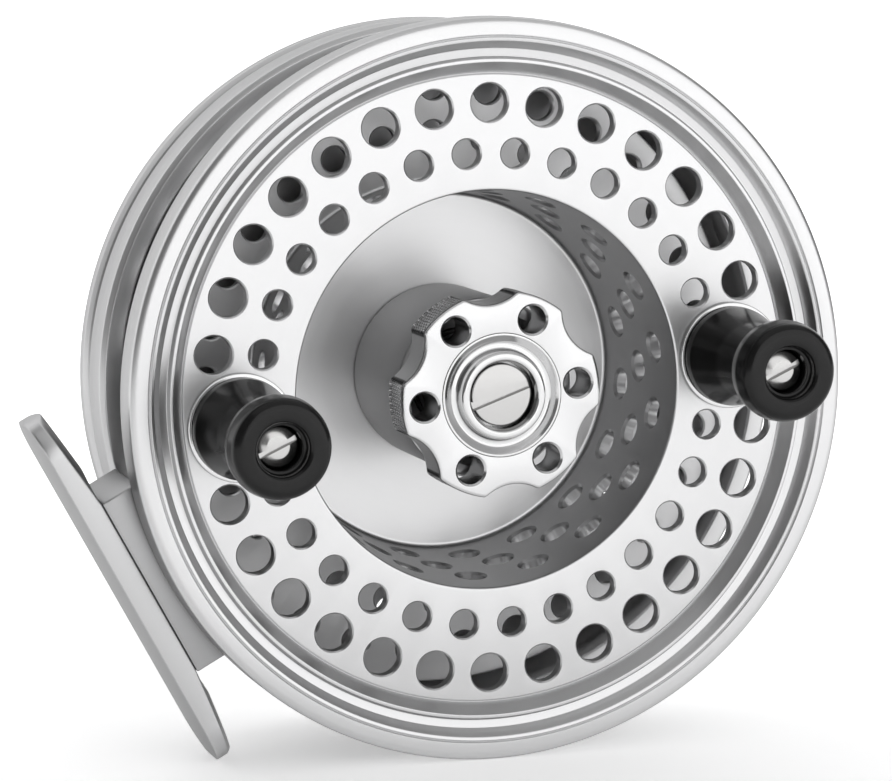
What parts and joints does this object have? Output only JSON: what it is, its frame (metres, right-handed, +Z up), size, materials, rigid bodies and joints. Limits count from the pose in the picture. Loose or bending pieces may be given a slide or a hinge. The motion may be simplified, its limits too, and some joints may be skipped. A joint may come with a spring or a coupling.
{
  "type": "fly reel",
  "caption": "Large-arbor fly fishing reel: a perforated palming-rim spool with black handles and a lobed front drag knob, turning in a half frame that carries the rod foot.",
  "frame": {"origin": "centre of the bounding box's base, on the surface that the rim and the foot's lower tip stand on", "axes": "+Y along the spool's axis from the handle side to the back plate, +Z up, +X away from the foot"},
  "size_m": [0.1226, 0.0616, 0.11],
  "materials": {
    "satin_aluminium": "turned and drilled bar stock, satin, with bright chamfers",
    "knob_aluminium": "satin, with a knurled edge",
    "polished_steel": "polished",
    "stainless_steel": "turned",
    "spring_steel": "plain",
    "cork": "cork composite drag disc",
    "brass": "machined",
    "black_plastic": "satin gloss black"
  },
  "bodies": {
    "frame": {"frame": "satin_aluminium", "reel_foot": "satin_aluminium", "foot_screw_1": "stainless_steel", "foot_screw_2": "stainless_steel", "spindle": "stainless_steel", "spindle_nut": "stainless_steel", "centre_screw": "stainless_steel", "one_way_clutch": "stainless_steel", "spring_washer_1": "spring_steel", "spring_washer_2": "spring_steel", "pawl_pin": "stainless_steel", "spring_post": "stainless_steel", "click_spring": "spring_steel"},
    "spool": {"spool": "satin_aluminium", "drag_housing": "satin_aluminium", "rear_bearing": "stainless_steel", "front_bearing": "stainless_steel", "pressure_plate": "satin_aluminium", "front_cork_disc": "cork", "rear_cork_disc": "cork", "click_gear": "brass", "handle_post_a": "stainless_steel", "handle_post_b": "stainless_steel", "handle_seat_a": "polished_steel", "handle_seat_b": "polished_steel", "handle_screw_a": "stainless_steel", "handle_screw_b": "stainless_steel"},
    "handle_a": {"handle_knob_a": "black_plastic"},
    "handle_b": {"handle_knob_b": "black_plastic"},
    "drag_plate": {"drag_plate": "stainless_steel"},
    "thrust_washer": {"thrust_washer": "stainless_steel"},
    "drag_knob": {"drag_knob": "knob_aluminium", "knob_bezel": "polished_steel"},
    "click_pawl": {"click_pawl": "stainless_steel"}
  },
  "joints": [
    {"name": "spool_spin", "type": "hinge", "parent": "frame", "child": "spool", "pos_m": [0.00634, -0.00695, 0.055], "axis": [0, 1, 0], "continuous": true},
    {"name": "handle_a_spin", "type": "hinge", "parent": "spool", "child": "handle_a", "pos_m": [0.04434, -0.01895, 0.05889], "axis": [0, 1, 0], "continuous": true},
    {"name": "handle_b_spin", "type": "hinge", "parent": "spool", "child": "handle_b", "pos_m": [-0.03167, -0.01895, 0.05111], "axis": [0, 1, 0], "continuous": true},
    {"name": "drag_plate_slip", "type": "hinge", "parent": "spool", "child": "drag_plate", "pos_m": [0.00634, -0.00695, 0.055], "axis": [0, 1, 0], "continuous": true},
    {"name": "knob_travel", "type": "slide", "parent": "frame", "child": "thrust_washer", "axis": [0, 1, 0], "range_m": [-0.00046, 0.00046]},
    {"name": "drag_knob_turn", "type": "hinge", "parent": "thrust_washer", "child": "drag_knob", "pos_m": [0.00634, -0.00695, 0.055], "axis": [0, 1, 0], "range_deg": [-165, 165]},
    {"name": "click_pawl_rock", "type": "hinge", "parent": "frame", "child": "click_pawl", "pos_m": [0.01764, 0.02265, 0.07457], "axis": [0, 1, 0], "range_deg": [-15, 15], "stiffness_Nm_per_rad": 0.0005}
  ],
  "couplings": [
    {"joint": "knob_travel", "follows": "drag_knob_turn", "m_per_rad": 0.00015915}
  ]
}
